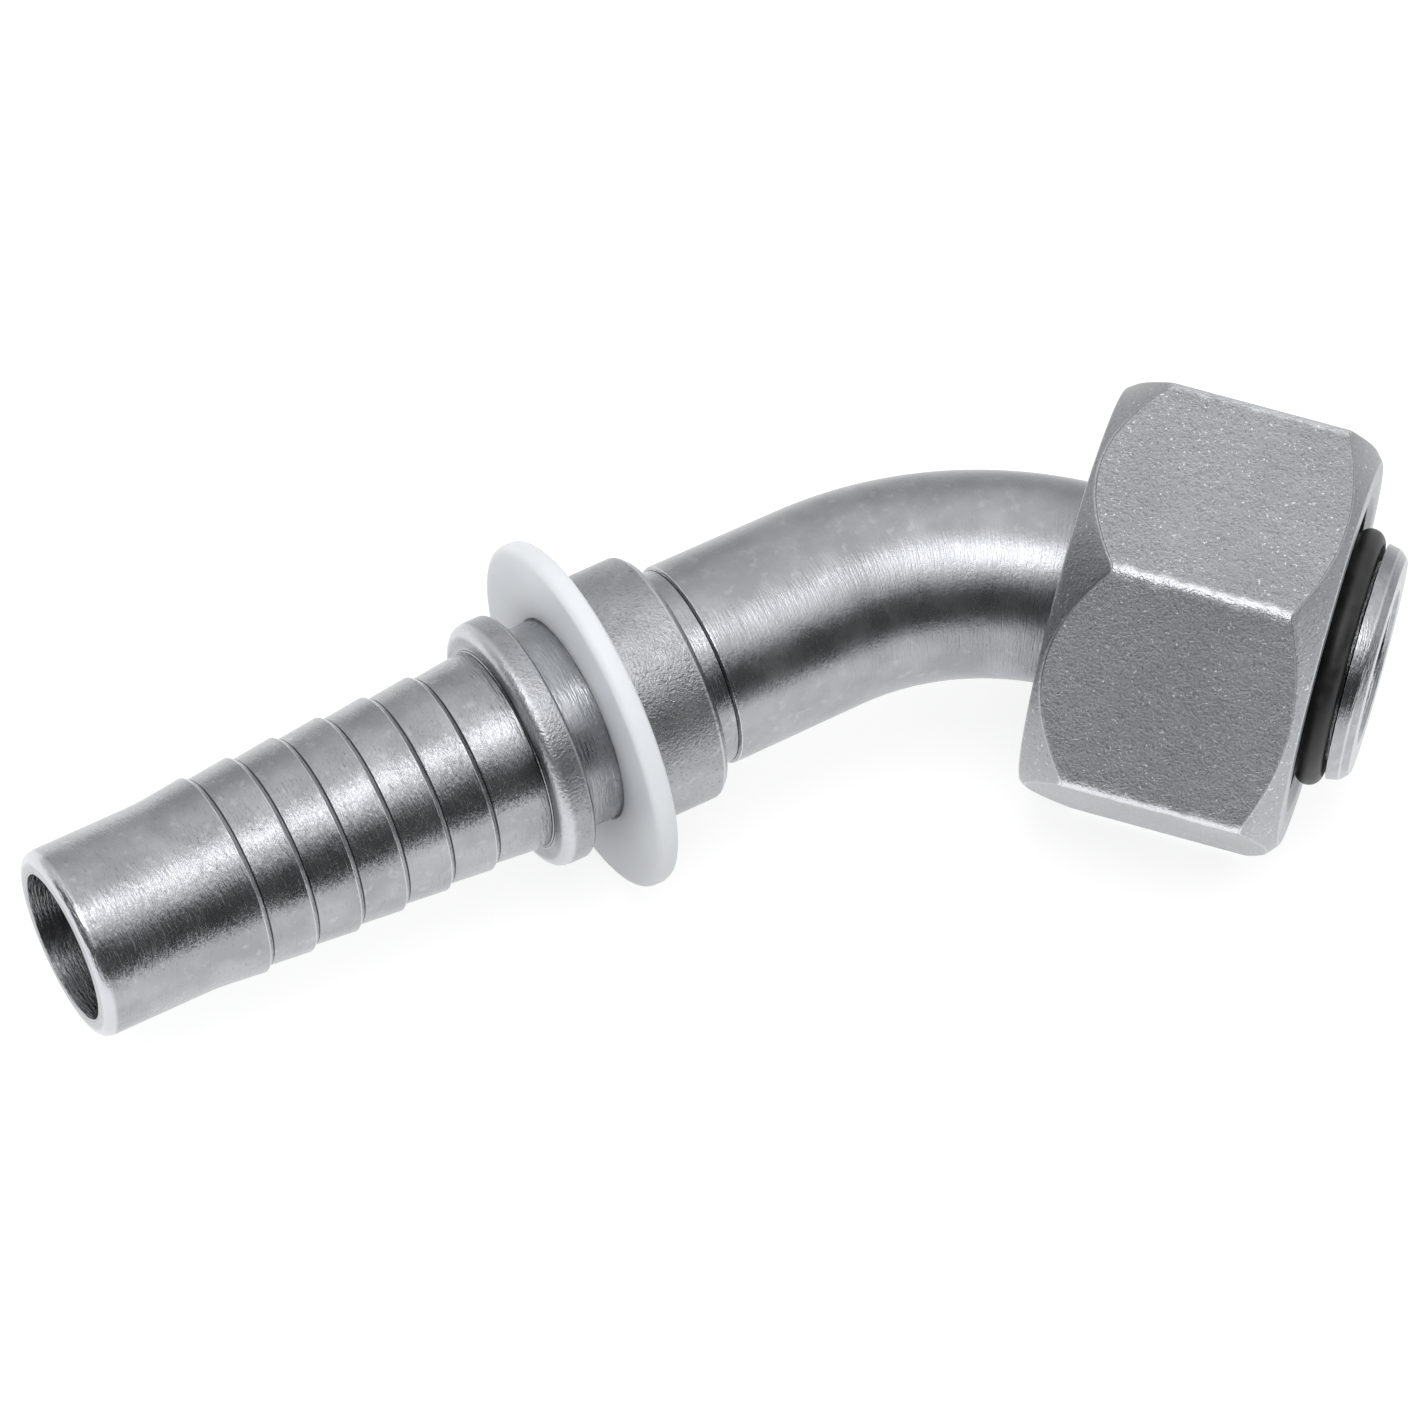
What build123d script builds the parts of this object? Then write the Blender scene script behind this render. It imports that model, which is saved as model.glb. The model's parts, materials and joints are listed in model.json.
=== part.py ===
from build123d import *
import math
import os

# Swept elbow fitting: a ribbed hose tail and a coned nose on one bent steel stem, with a loose hexagon nut, a seal
# in the cone and a plastic stop ring on the neck. Millimetres. The origin is the centre of the coned nose's face.
# The nut's axis is X, with the nose facing +X. The tail bends away towards -Y, and the part lies on the plane that
# touches the nut's lowest flat and the stop ring's rim.

# Stem: tube and bend
bore_diameter = 10.0
tube_diameter = 13.4
bend_angle = 45.0
bend_radius = 23.1
nose_to_bend = 19.5

# Stem: coned head, measured back from the nose face
nose_diameter = 15.44
nose_chamfer = 0.55
bore_countersink = 0.3
cone_half_angle = 12.0
head_length = 10.2
head_land = 0.8
seal_section = 1.88
seal_setback = 2.6
seal_groove_slack = 0.45
seal_groove_depth = 1.48
seal_fit = 0.02

# Stem: straight tail, measured on from the end of the bend
swept_run = 9.4
relief_width = 1.7
relief_depth = 0.22
relief_ramp = 0.15
collar_diameter = 16.88
inner_collar_width = 5.5
inner_collar_chamfer = 0.4
neck_diameter = 13.8
neck_length = 4.2
outer_collar_width = 3.1
outer_collar_chamfer = 0.2
outer_collar_round = 0.9
collar_round_share = 0.85
collar_foot = 0.35

# Stem: ribs that hold the hose
rib_count = 6
rib_pitch = 3.24
rib_crest_diameter = 13.5
rib_root_diameter = 12.92
rib_step = 0.55
tail_nose_diameter = 12.8
tail_nose_length = 8.15
tail_lip_round = 0.9

# Nut
thread_diameter = 22.0
thread_pitch = 1.5
nut_across_flats = 27.0
nut_length = 17.3
nut_setback = 3.2
nut_front_face_diameter = 25.6
nut_front_chamfer_angle = 40.0
nut_rear_face_diameter = 26.4
nut_rear_chamfer_angle = 55.0
nut_lead_in = 0.5
nut_thread_length = 9.6
nut_undercut_width = 2.0
nut_undercut_depth = 0.25
nut_rear_edge = 0.4

# Stop ring
ring_diameter = 23.92
ring_thickness = 1.5
ring_rim_chamfer = 0.45

# Clearances
collar_to_nut = 0.36
neck_to_ring = 0.1
ring_end_gap = 0.05

# Search for the resting angle: degrees each way, and halvings
droop_search_range = 80.0
droop_search_steps = 60

# Worked out from the sizes above
bore_radius = bore_diameter / 2
tube_radius = tube_diameter / 2
collar_radius = collar_diameter / 2
neck_radius = neck_diameter / 2
nose_radius = nose_diameter / 2
cone_slope = math.tan(math.radians(cone_half_angle))
head_radius = nose_radius + (head_length - head_land - nose_chamfer) * cone_slope
thread_root_radius = thread_diameter / 2
thread_crest_radius = thread_root_radius - 5 / 8 * thread_pitch * math.cos(math.radians(30))
nut_rear_hole_radius = collar_radius + collar_to_nut
relief_radius = neck_radius - relief_depth
rib_crest_radius = rib_crest_diameter / 2
rib_root_radius = rib_root_diameter / 2
tail_nose_radius = tail_nose_diameter / 2
ring_radius = ring_diameter / 2
ring_bore_radius = neck_radius + neck_to_ring
seal_seat_radius = nose_radius + (seal_setback - nose_chamfer) * cone_slope - seal_groove_depth
nut_start = nut_setback
nut_end = nut_start + nut_length

# Places along the straight tail, from the end of the bend
relief_start = swept_run
inner_collar_start = relief_start + relief_width
neck_start = inner_collar_start + inner_collar_width
outer_collar_start = neck_start + neck_length
ribs_start = outer_collar_start + outer_collar_width
tail_nose_start = ribs_start + (rib_count + 1) * rib_pitch
tail_end = tail_nose_start + tail_nose_length
ring_place = neck_start + ring_end_gap + ring_thickness / 2


def tail_axis():
    """The frame at the end of the bend, with the bend lying flat: local X runs along the tail to its end."""
    angle = math.radians(bend_angle)
    end = (-nose_to_bend - bend_radius * math.sin(angle), -bend_radius * (1 - math.cos(angle)), 0)
    return Location(end, (0, 0, 180 + bend_angle))


def nose_axis():
    """The frame at the nose face: local X runs back from the face into the head."""
    return Location((0, 0, 0), (0, 0, 180))


def turned(points, rounded_corners=()):
    """A piece turned about local X, from the corners of its half section and the (corner, radius) pairs to round."""
    section = make_face(Polyline(*points, close=True))
    for corner, radius in rounded_corners:
        section = fillet(section.vertices().sort_by_distance(corner)[0], radius)
    return revolve(section, Axis.X)


def rod(radius, start, end):
    """A plain cylinder on local X."""
    return Location((start, 0, 0)) * (Plane.YZ * extrude(Circle(radius), end - start))


def hexagon_bar(across_flats, start, end):
    """A hexagonal bar on local X with its flats facing up and down."""
    outline = Plane.YZ * RegularPolygon(across_flats / 2, 6, major_radius=False)
    return Location((start, 0, 0)) * extrude(outline, end - start, dir=(1, 0, 0))


def head_and_tube():
    """The coned nose, the head's land and shoulder, and the straight tube up to the bend."""
    shoulder = head_radius - tube_radius
    outline = [
        (0, 0),
        (0, nose_radius - nose_chamfer),
        (nose_chamfer, nose_radius),
        (head_length - head_land, head_radius),
        (head_length, head_radius),
        (head_length + shoulder, tube_radius),
        (nose_to_bend, tube_radius),
        (nose_to_bend, 0),
    ]
    return turned(outline)


def swept_tube(radius):
    """A round bar carried round the bend, from the nose's straight to the tail's."""
    start = Location((-nose_to_bend, 0, 0)) * (Plane.YZ * Circle(radius))
    bend_centre = Axis((-nose_to_bend, -bend_radius, 0), (0, 0, 1))
    return revolve(start, bend_centre, bend_angle)


def rib_outline():
    """Points over the ribs, from the outer collar towards the tail's end: each climbs to a crest and steps down."""
    points = []
    for number in range(rib_count):
        crest = ribs_start + (number + 1) * rib_pitch
        points.append((crest - rib_step, rib_root_radius))
        points.append((crest, rib_crest_radius))
    return points


def tail():
    """The straight tail: the widening tube, relief groove, inner collar, neck, outer collar, ribs and plain nose."""
    end_of_outer_collar = (ribs_start, collar_radius)
    foot = (ribs_start, rib_crest_radius + collar_foot)
    collar_round = min(outer_collar_round, collar_round_share * (collar_radius - foot[1]))
    end_of_tail = (tail_end, tail_nose_radius)
    outline = [
        (0, 0),
        (0, tube_radius),
        (relief_start, neck_radius),
        (relief_start + relief_ramp, relief_radius),
        (inner_collar_start, relief_radius),
        (inner_collar_start, collar_radius - inner_collar_chamfer),
        (inner_collar_start + inner_collar_chamfer, collar_radius),
        (neck_start, collar_radius),
        (neck_start, neck_radius),
        (outer_collar_start, neck_radius),
        (outer_collar_start, collar_radius - outer_collar_chamfer),
        (outer_collar_start + outer_collar_chamfer, collar_radius),
        end_of_outer_collar,
        foot,
        (ribs_start + collar_foot, rib_crest_radius),
        *rib_outline(),
        (tail_nose_start, tail_nose_radius),
        end_of_tail,
        (tail_end, 0),
    ]
    return turned(outline, [(end_of_outer_collar, collar_round), (end_of_tail, tail_lip_round)])


def countersink():
    """The cone that breaks the bore's edge at the nose face."""
    mouth = (0, bore_radius + bore_countersink)
    return turned([(0, 0), mouth, (bore_countersink, bore_radius), (bore_countersink, 0)])


def seal_groove():
    """The ring cut out of the cone for the seal, with a flat floor."""
    half_width = seal_section / 2 + seal_groove_slack / 2
    floor = seal_seat_radius
    rim = head_radius + seal_section
    return turned(
        [
            (seal_setback - half_width, floor),
            (seal_setback - half_width, rim),
            (seal_setback + half_width, rim),
            (seal_setback + half_width, floor),
        ]
    )


def hose_stem():
    """The whole stem in one piece, bored through from the nose to the tail."""
    body = nose_axis() * head_and_tube() + swept_tube(tube_radius) + tail_axis() * tail()
    bore = nose_axis() * rod(bore_radius, 0, nose_to_bend) + swept_tube(bore_radius)
    bore += tail_axis() * rod(bore_radius, 0, tail_end)
    return body - bore - nose_axis() * countersink() - nose_axis() * seal_groove()


def o_ring():
    """The rubber seal, lying on the floor of its groove."""
    section_radius = seal_section / 2
    ring = Torus(seal_seat_radius + seal_fit + section_radius, section_radius)
    return nose_axis() * Location((seal_setback, 0, 0), (0, 90, 0)) * ring


def nut_blank():
    """The hexagon bar with its corners turned down to the two round faces."""
    reach = nut_across_flats / math.sqrt(3)
    front_radius = nut_front_face_diameter / 2
    rear_radius = nut_rear_face_diameter / 2
    front_depth = (reach - front_radius) * math.tan(math.radians(nut_front_chamfer_angle))
    rear_depth = (reach - rear_radius) * math.tan(math.radians(nut_rear_chamfer_angle))
    envelope = turned(
        [
            (nut_start, 0),
            (nut_start, front_radius),
            (nut_start + front_depth, reach),
            (nut_end - rear_depth, reach),
            (nut_end, rear_radius),
            (nut_end, 0),
        ]
    )
    return hexagon_bar(nut_across_flats, nut_start, nut_end) & envelope


def nut_bore():
    """What is cut out of the nut: the lead-in, the thread's hole, the undercut, the shoulder and the rear hole."""
    shoulder_start = nut_start + nut_thread_length
    shoulder_depth = thread_crest_radius - nut_rear_hole_radius
    undercut_radius = thread_root_radius + nut_undercut_depth
    undercut_start = shoulder_start - nut_undercut_width
    return turned(
        [
            (nut_start, 0),
            (nut_start, thread_crest_radius + nut_lead_in),
            (nut_start + nut_lead_in, thread_crest_radius),
            (undercut_start, thread_crest_radius),
            (undercut_start, undercut_radius),
            (shoulder_start, undercut_radius),
            (shoulder_start, thread_crest_radius),
            (shoulder_start + shoulder_depth, nut_rear_hole_radius),
            (nut_end - nut_rear_edge, nut_rear_hole_radius),
            (nut_end, nut_rear_hole_radius + nut_rear_edge),
            (nut_end, 0),
        ]
    )


def swivel_nut():
    """The loose hexagon nut round the coned head."""
    return nose_axis() * (nut_blank() - nut_bore())


def stop_ring():
    """The plastic ring on the neck, against the inner collar."""
    front = ring_place - ring_thickness / 2
    back = ring_place + ring_thickness / 2
    outline = [
        (front, ring_bore_radius),
        (front, ring_radius - ring_rim_chamfer),
        (front + ring_rim_chamfer, ring_radius),
        (back - ring_rim_chamfer, ring_radius),
        (back, ring_radius - ring_rim_chamfer),
        (back, ring_bore_radius),
    ]
    return tail_axis() * turned(outline)


def ring_bottom(droop):
    """How far the stop ring's rim reaches below the nut's axis, with the stem rolled down by this angle."""
    turn = math.radians(droop)
    centre = tail_axis() * Location((ring_place, 0, 0))
    lean = abs(math.sin(math.radians(bend_angle)) * math.sin(turn))
    rim_half_width = ring_thickness / 2 - ring_rim_chamfer
    return ring_radius * math.sqrt(1 - lean**2) + rim_half_width * lean - centre.position.Y * math.sin(turn)


def resting_droop():
    """The roll about the nut's axis that brings the stop ring's rim down to the plane of the nut's lowest flat."""
    low, high = -droop_search_range, droop_search_range
    for _ in range(droop_search_steps):
        middle = (low + high) / 2
        if ring_bottom(middle) < nut_across_flats / 2:
            low = middle
        else:
            high = middle
    return (low + high) / 2


def main():
    """Write one STEP file for each piece."""
    stem_roll = Location((0, 0, 0), (resting_droop(), 0, 0))
    pieces = {
        "hose_stem": stem_roll * hose_stem(),
        "o_ring": o_ring(),
        "swivel_nut": swivel_nut(),
        "stop_ring": stem_roll * stop_ring(),
    }
    os.makedirs("parts", exist_ok=True)
    for name, piece in pieces.items():
        export_step(piece, f"parts/{name}.step")


main()
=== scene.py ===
"""The looks of a swept elbow hose fitting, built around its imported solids.

The stem, the union nut, the rubber seal and the plastic stop ring are worked out as surfaces in
millimetres, in the frame of the solids, and written to their meshes in metres. The nut's axis is X, the
coned nose faces +X with the middle of its face at the origin, and the ribbed tail bends away towards -Y.
"""

import json
import logging
import math
from dataclasses import dataclass, field
from enum import Enum

import bpy
import numpy as np
from mathutils import Matrix, Vector

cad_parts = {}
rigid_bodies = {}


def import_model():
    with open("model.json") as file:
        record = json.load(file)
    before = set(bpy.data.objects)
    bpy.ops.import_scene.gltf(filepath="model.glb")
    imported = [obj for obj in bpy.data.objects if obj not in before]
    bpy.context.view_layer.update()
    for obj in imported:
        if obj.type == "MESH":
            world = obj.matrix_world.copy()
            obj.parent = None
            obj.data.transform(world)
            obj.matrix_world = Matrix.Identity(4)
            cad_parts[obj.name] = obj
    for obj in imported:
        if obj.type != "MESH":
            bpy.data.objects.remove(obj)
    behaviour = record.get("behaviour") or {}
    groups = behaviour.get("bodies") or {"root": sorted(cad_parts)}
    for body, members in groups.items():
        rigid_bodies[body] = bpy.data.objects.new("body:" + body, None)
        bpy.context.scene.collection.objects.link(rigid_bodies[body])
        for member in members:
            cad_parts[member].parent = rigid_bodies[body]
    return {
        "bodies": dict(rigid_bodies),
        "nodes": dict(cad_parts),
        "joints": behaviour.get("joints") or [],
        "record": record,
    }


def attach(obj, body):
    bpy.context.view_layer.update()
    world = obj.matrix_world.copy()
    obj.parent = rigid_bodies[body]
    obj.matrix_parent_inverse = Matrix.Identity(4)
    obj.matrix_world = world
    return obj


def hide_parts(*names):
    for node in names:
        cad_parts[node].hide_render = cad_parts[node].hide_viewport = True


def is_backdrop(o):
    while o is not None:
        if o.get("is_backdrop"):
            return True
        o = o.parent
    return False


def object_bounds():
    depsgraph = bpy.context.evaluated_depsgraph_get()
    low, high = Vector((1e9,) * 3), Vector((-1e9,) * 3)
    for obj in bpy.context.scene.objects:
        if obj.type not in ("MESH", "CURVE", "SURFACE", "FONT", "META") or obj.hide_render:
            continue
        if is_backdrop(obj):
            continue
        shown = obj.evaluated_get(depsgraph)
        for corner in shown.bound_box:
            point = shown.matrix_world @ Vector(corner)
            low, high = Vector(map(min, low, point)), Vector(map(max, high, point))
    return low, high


LOG = logging.getLogger("elbow_fitting")
MILLIMETRE = 0.001
FULL_TURN = 2 * math.pi
HEXAGON_TURN = math.radians(60.0)

Array = np.ndarray
Socket = bpy.types.NodeSocket
Value = Socket | float | tuple
Tint = tuple[float, float, float]
Colour = tuple[float, float, float, float]

ZINC_TINT: Tint = (0.93, 0.955, 1.0)


class Cut(Enum):
    """How a stretch of the stem's surface was made, which decides its marks."""

    TURNED = "turned"
    DRAWN = "drawn"
    COLLAR = "collar"
    BORED = "bored"


@dataclass(frozen=True)
class Corner:
    """One corner of a turned outline.

    Attributes:
        station: distance along the piece's axis, in millimetres.
        radius: distance from the axis, in millimetres.
        rounding: radius of the rounding at the corner, in millimetres.
        cut: how the stretch that follows the corner was made.
    """

    station: float
    radius: float
    rounding: float = 0.06
    cut: Cut = Cut.TURNED


def rounded_rows(
    corners: Array, roundings: Array, counts: list[int], corner_points: int
) -> tuple[Array, Array]:
    """Lay rows of points along closed outlines, one outline to a column.

    Each corner is a parabola between its two sides, touching both at the rounding's distance from the
    corner, or nearer where two roundings share a side that is too short for both. The straight stretches
    between the corners are divided evenly.

    Args:
        corners: corners by columns by two, as places along the axis and radii.
        roundings: one rounding for each corner, in millimetres.
        counts: divisions of the stretch that follows each corner.
        corner_points: points on each rounded corner.

    Returns:
        Rows by columns by two, and for each of these points how sharp an outside corner (above 0) or an
        inside corner (below 0) it lies on.
    """
    longest_share = 0.9
    before, after = np.roll(corners, 1, axis=0), np.roll(corners, -1, axis=0)
    length_in = np.linalg.norm(corners - before, axis=2, keepdims=True)
    length_out = np.linalg.norm(after - corners, axis=2, keepdims=True)
    heading_in = (corners - before) / length_in
    heading_out = (after - corners) / length_out
    turn = heading_in[..., 0] * heading_out[..., 1] - heading_in[..., 1] * heading_out[..., 0]
    wanted = np.broadcast_to(roundings[:, None, None], length_in.shape)
    room_in = longest_share * length_in / (wanted + np.roll(wanted, 1, axis=0))
    room_out = longest_share * length_out / (wanted + np.roll(wanted, -1, axis=0))
    reach = wanted * np.minimum(1.0, np.minimum(room_in, room_out))
    share = np.linspace(0.0, 1.0, corner_points)[:, None, None]
    rows: list[Array] = []
    edges: list[Array] = []
    for number, corner in enumerate(corners):
        start = corner - heading_in[number] * reach[number]
        end = corner + heading_out[number] * reach[number]
        curve = (1 - share) ** 2 * start + 2 * share * (1 - share) * corner + share**2 * end
        following = (number + 1) % len(corners)
        stretch_end = corners[following] - heading_out[number] * reach[following]
        inner = np.linspace(end, stretch_end, counts[number] + 1)[1:-1]
        rows += [curve, inner]
        edges += [-turn[number] * np.sin(math.pi * share[..., 0]), np.zeros(inner.shape[:2])]
    return np.concatenate(rows), np.concatenate(edges)


@dataclass
class Outline:
    """A closed outline of corners, sampled into points.

    Attributes:
        corners: the corners in order; the last joins the first.
        step: longest distance between points, in millimetres.
        bore_step: the same for stretches that are bored.
        corner_points: points on each rounded corner.
    """

    corners: list[Corner]
    step: float = 0.5
    bore_step: float = 1.6
    corner_points: int = 6

    def sample(self) -> dict[str, Array]:
        """Lay points along the outline.

        Returns:
            Arrays of the same length: station, radius, edge (above 0 on an outside corner, below 0 on an
            inside one) and, by each way of cutting, 1 where the surface was made that way.
        """
        points = np.array([(corner.station, corner.radius) for corner in self.corners])
        lengths = np.linalg.norm(np.roll(points, -1, axis=0) - points, axis=1)
        steps = [self.bore_step if corner.cut is Cut.BORED else self.step for corner in self.corners]
        counts = [max(1, math.ceil(length / step)) for length, step in zip(lengths, steps)]
        roundings = np.array([corner.rounding for corner in self.corners])
        table, edges = rounded_rows(points[:, None, :], roundings, counts, self.corner_points)
        sampled = {"station": table[:, 0, 0], "radius": table[:, 0, 1], "edge": edges[:, 0]}
        repeats = [self.corner_points + count - 1 for count in counts]
        for cut in Cut:
            made = np.array([float(corner.cut is cut) for corner in self.corners])
            sampled[cut.value] = np.repeat(made, repeats)
        return sampled


def wrapped_grid(name: str, points: Array, marks: dict[str, Array]) -> bpy.types.Object:
    """Turn a grid of points that closes on itself in both directions into a mesh object.

    Each cell between neighbouring rows and columns is one four-sided face. The winding is turned round if
    the volume that the faces enclose comes out negative, so that the faces point outwards. The mesh's UV
    map holds the distance along the rows in millimetres and the share of the way round.

    Args:
        name: the object's name.
        points: rows by columns by three, in millimetres.
        marks: numbers for each point, by attribute name, of shape rows by columns or rows.

    Returns:
        The new object, linked to the scene.
    """
    rows, columns = points.shape[:2]
    row, column = np.meshgrid(np.arange(rows), np.arange(columns), indexing="ij")
    cell = [(row, column), (row + 1, column), (row + 1, column + 1), (row, column + 1)]
    faces = np.stack([r % rows * columns + c % columns for r, c in cell], axis=-1).reshape(-1, 4)
    steps = np.linalg.norm(np.roll(points, -1, axis=0) - points, axis=2).mean(axis=1)
    along = np.concatenate([[0.0], np.cumsum(steps)])
    around = np.arange(columns + 1) / columns
    uv = np.stack([np.stack([along[r], around[c]], axis=-1) for r, c in cell], axis=2).reshape(-1, 4, 2)
    flat = points.reshape(-1, 3) * MILLIMETRE
    a, b, c, d = (flat[faces[:, index]] for index in range(4))
    volume = np.einsum("ij,ij->", a, np.cross(b, c)) + np.einsum("ij,ij->", a, np.cross(c, d))
    if volume < 0:
        faces, uv = faces[:, ::-1], uv[:, ::-1]
    mesh = bpy.data.meshes.new(name)
    mesh.vertices.add(len(flat))
    mesh.vertices.foreach_set("co", flat.astype(np.float32).ravel())
    mesh.loops.add(faces.size)
    mesh.loops.foreach_set("vertex_index", np.ascontiguousarray(faces, dtype=np.int32).ravel())
    mesh.polygons.add(len(faces))
    mesh.polygons.foreach_set("loop_start", np.arange(0, faces.size, 4, dtype=np.int32))
    mesh.polygons.foreach_set("use_smooth", np.ones(len(faces), dtype=bool))
    layer = mesh.uv_layers.new(name="surface")
    layer.data.foreach_set("uv", np.ascontiguousarray(uv, dtype=np.float32).ravel())
    for label, values in marks.items():
        spread = values if values.ndim == 2 else np.repeat(values[:, None], columns, axis=1)
        attribute = mesh.attributes.new(label, "FLOAT", "POINT")
        attribute.data.foreach_set("value", spread.astype(np.float32).ravel())
    mesh.update(calc_edges=True)
    mesh.validate()
    piece = bpy.data.objects.new(name, mesh)
    bpy.context.scene.collection.objects.link(piece)
    return piece


def ringed_sheet(name: str, rings: Array, middle: Array) -> bpy.types.Object:
    """Turn rings round a middle point into an open sheet.

    Neighbouring rings are joined by four-sided faces, and the first ring to the middle by triangles.

    Args:
        name: the object's name.
        rings: rings by points by three, from the middle outwards, in millimetres.
        middle: the middle point, in millimetres.

    Returns:
        The new object, linked to the scene.
    """
    count, columns = rings.shape[:2]
    flat = np.vstack([rings.reshape(-1, 3), middle]) * MILLIMETRE
    ring, column = np.meshgrid(np.arange(count - 1), np.arange(columns), indexing="ij")
    after = (column + 1) % columns
    cell = [(ring, column), (ring + 1, column), (ring + 1, after), (ring, after)]
    quads = np.stack([r * columns + c for r, c in cell], axis=-1).reshape(-1, 4)
    fan = np.stack([np.full(columns, count * columns), column[0], after[0]], axis=-1)
    mesh = bpy.data.meshes.new(name)
    mesh.from_pydata(flat.tolist(), [], quads.tolist() + fan.tolist())
    sheet = bpy.data.objects.new(name, mesh)
    bpy.context.scene.collection.objects.link(sheet)
    return sheet


@dataclass(frozen=True)
class StemPath:
    """The stem's centre line, from the nose along the bend to the tail's end, in the frame of the solids.

    Attributes:
        droop: roll of the stem about the nut's axis, in radians.
        nose_to_bend: straight run from the nose face to the bend, in millimetres.
        bend_radius: radius of the bend's centre line, in millimetres.
        bend_angle: the bend, in radians.
    """

    droop: float
    nose_to_bend: float = 19.5
    bend_radius: float = 23.1
    bend_angle: float = math.radians(45.0)

    @property
    def bend_end(self) -> float:
        """The station at which the bend ends and the tail begins."""
        return self.nose_to_bend + self.bend_radius * self.bend_angle

    def place(self, station: Array) -> tuple[Array, Array, Array]:
        """Find the centre line and its two cross directions.

        The heading turns evenly from 0 to the bend's angle over the bend. The point is the bend's start
        plus the arc so far plus the straight beyond it.

        Args:
            station: distances from the nose face.

        Returns:
            The points, the directions across the line in the bend's plane, and the direction square to
            that plane.
        """
        arc = np.clip(station - self.nose_to_bend, 0.0, self.bend_end - self.nose_to_bend)
        turned = arc / self.bend_radius
        before = np.minimum(station, self.nose_to_bend)
        beyond = np.maximum(station - self.bend_end, 0.0)
        x = -before - self.bend_radius * np.sin(turned) - beyond * np.cos(turned)
        y = -self.bend_radius * (1 - np.cos(turned)) - beyond * np.sin(turned)
        flat = np.stack([x, y, np.zeros_like(x)], axis=-1)
        across = np.stack([-np.sin(turned), np.cos(turned), np.zeros_like(x)], axis=-1)
        upward = np.broadcast_to(np.array([0.0, 0.0, 1.0]), across.shape)
        return self.roll(flat), self.roll(across), self.roll(upward)

    def roll(self, points: Array) -> Array:
        """Roll points about the nut's axis by the droop.

        Args:
            points: points or directions, with their three numbers along the last axis.

        Returns:
            The rolled points.
        """
        cos, sin = math.cos(self.droop), math.sin(self.droop)
        y, z = points[..., 1], points[..., 2]
        return np.stack([points[..., 0], cos * y - sin * z, sin * y + cos * z], axis=-1)

    def turned_piece(self, name: str, outline: Outline, columns: int) -> bpy.types.Object:
        """Carry a turned outline round the centre line.

        A point lies at its station's place plus its radius times the cosine of its angle upward and the
        sine across. Those two products are kept as the marks "rise" and "side".

        Args:
            name: the object's name.
            outline: the closed outline, in stations and radii.
            columns: points round the axis.

        Returns:
            The mesh object.
        """
        sampled = outline.sample()
        radius = sampled.pop("radius")[:, None]
        centre, across, upward = self.place(sampled["station"])
        angle = np.arange(columns) / columns * FULL_TURN
        rise, side = radius * np.cos(angle), radius * np.sin(angle)
        points = centre[:, None] + rise[..., None] * upward[:, None] + side[..., None] * across[:, None]
        return wrapped_grid(name, points, sampled | {"side": side, "rise": rise})


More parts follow.
